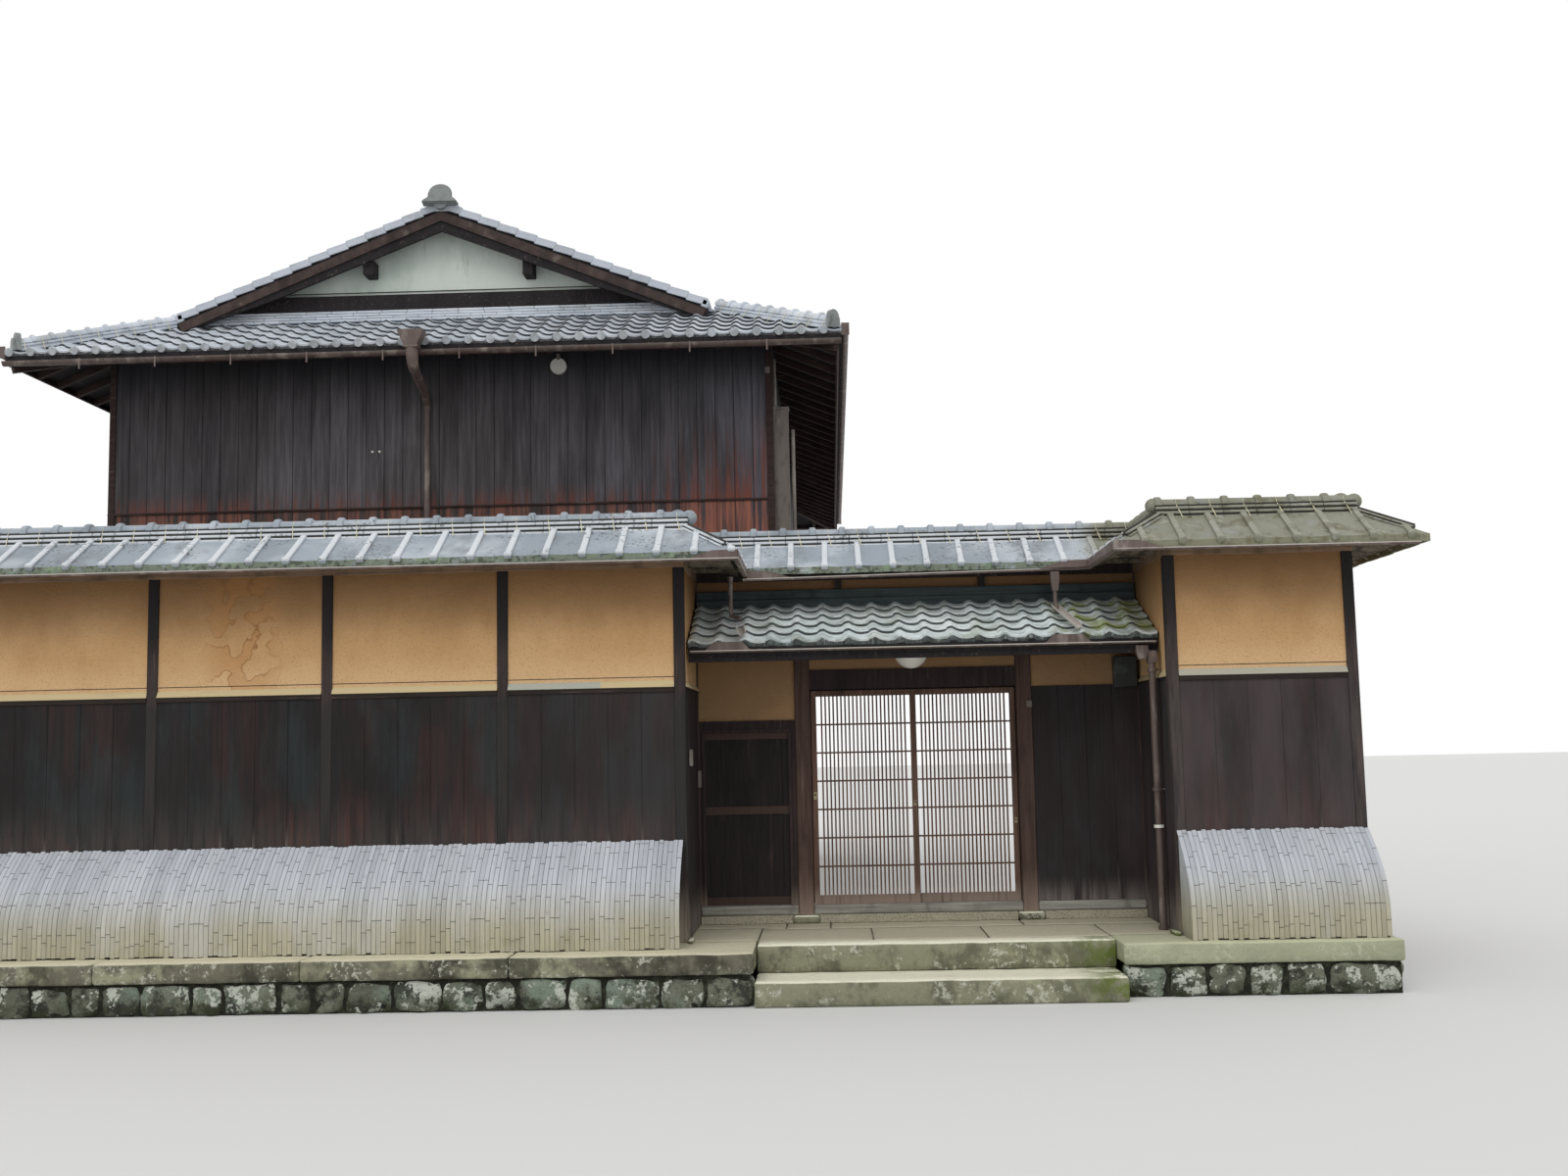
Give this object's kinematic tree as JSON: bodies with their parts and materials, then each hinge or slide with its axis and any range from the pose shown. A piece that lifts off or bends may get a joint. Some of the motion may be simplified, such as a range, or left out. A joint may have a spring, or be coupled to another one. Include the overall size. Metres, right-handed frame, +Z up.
{
  "type": "machiya townhouse",
  "caption": "Japanese townhouse: tiled street wall with a recessed lattice gate and bamboo guards, and a boarded house with a hip-and-gable roof behind.",
  "frame": {"origin": "on the ground under the middle of the gate, in the plane of the front faces of the street wall's posts", "axes": "+X along the street to the right, +Y into the plot, +Z up"},
  "size_m": [13.8262, 18.48, 8.5507],
  "materials": {
    "rubble": "rough",
    "granite": "weathered",
    "timber": "weathered",
    "ochre_plaster": "matte earthen plaster",
    "cedar_boards": "charred and worn",
    "bamboo": "silvered",
    "roof_tile": "smoked clay",
    "lattice_wood": "oiled",
    "gutter_metal": "brown",
    "lamp_glass": "opal",
    "white_plaster": "matte lime plaster"
  },
  "bodies": {
    "root": {"rubble_footing": "rubble", "kerb_left": "granite", "kerb_right": "granite", "entrance_steps": "granite", "landing": "granite", "wall_posts": "timber", "wall_rails": "timber", "wall_plaster": "ochre_plaster", "wall_boards": "cedar_boards", "bamboo_guard_left": "bamboo", "bamboo_guard_right": "bamboo", "coping_left": "roof_tile", "coping_right": "roof_tile", "coping_gate": "roof_tile", "coping_ridges": "roof_tile", "recess_walls": "cedar_boards", "gate_posts": "timber", "gate_beams": "timber", "gate_plaster": "ochre_plaster", "gate_boards": "cedar_boards", "gate_sill": "granite", "side_door_frame": "timber", "pent_roof": "roof_tile", "pent_fascia": "timber", "street_gutters": "gutter_metal", "street_downpipes": "gutter_metal", "gate_lamp": "lamp_glass", "party_wall_left": "ochre_plaster", "side_wall_right": "cedar_boards", "house_footing": "granite", "house_wall_front": "cedar_boards", "house_wall_back": "cedar_boards", "house_wall_left": "cedar_boards", "house_wall_right": "cedar_boards", "gable_walls": "white_plaster", "bargeboards": "timber", "roof_left": "roof_tile", "roof_right": "roof_tile", "skirt_roof_front": "roof_tile", "skirt_roof_back": "roof_tile", "main_ridge": "roof_tile", "hip_ridges": "roof_tile", "house_gutters": "gutter_metal", "house_lamp": "lamp_glass", "service_duct": "gutter_metal"},
    "left_leaf": {"lattice_door_left": "lattice_wood"},
    "right_leaf": {"lattice_door_right": "lattice_wood"},
    "side_leaf": {"side_door": "cedar_boards"}
  },
  "joints": [
    {"name": "left_leaf_slide", "type": "slide", "parent": "root", "child": "left_leaf", "axis": [1, 0, 0], "range_m": [0, 0.86]},
    {"name": "right_leaf_slide", "type": "slide", "parent": "root", "child": "right_leaf", "axis": [-1, 0, 0], "range_m": [0, 0.86]},
    {"name": "side_leaf_hinge", "type": "hinge", "parent": "root", "child": "side_leaf", "pos_m": [-1.906, 1.3633, 0.6], "axis": [0, 0, 1], "range_deg": [0, 90]}
  ]
}
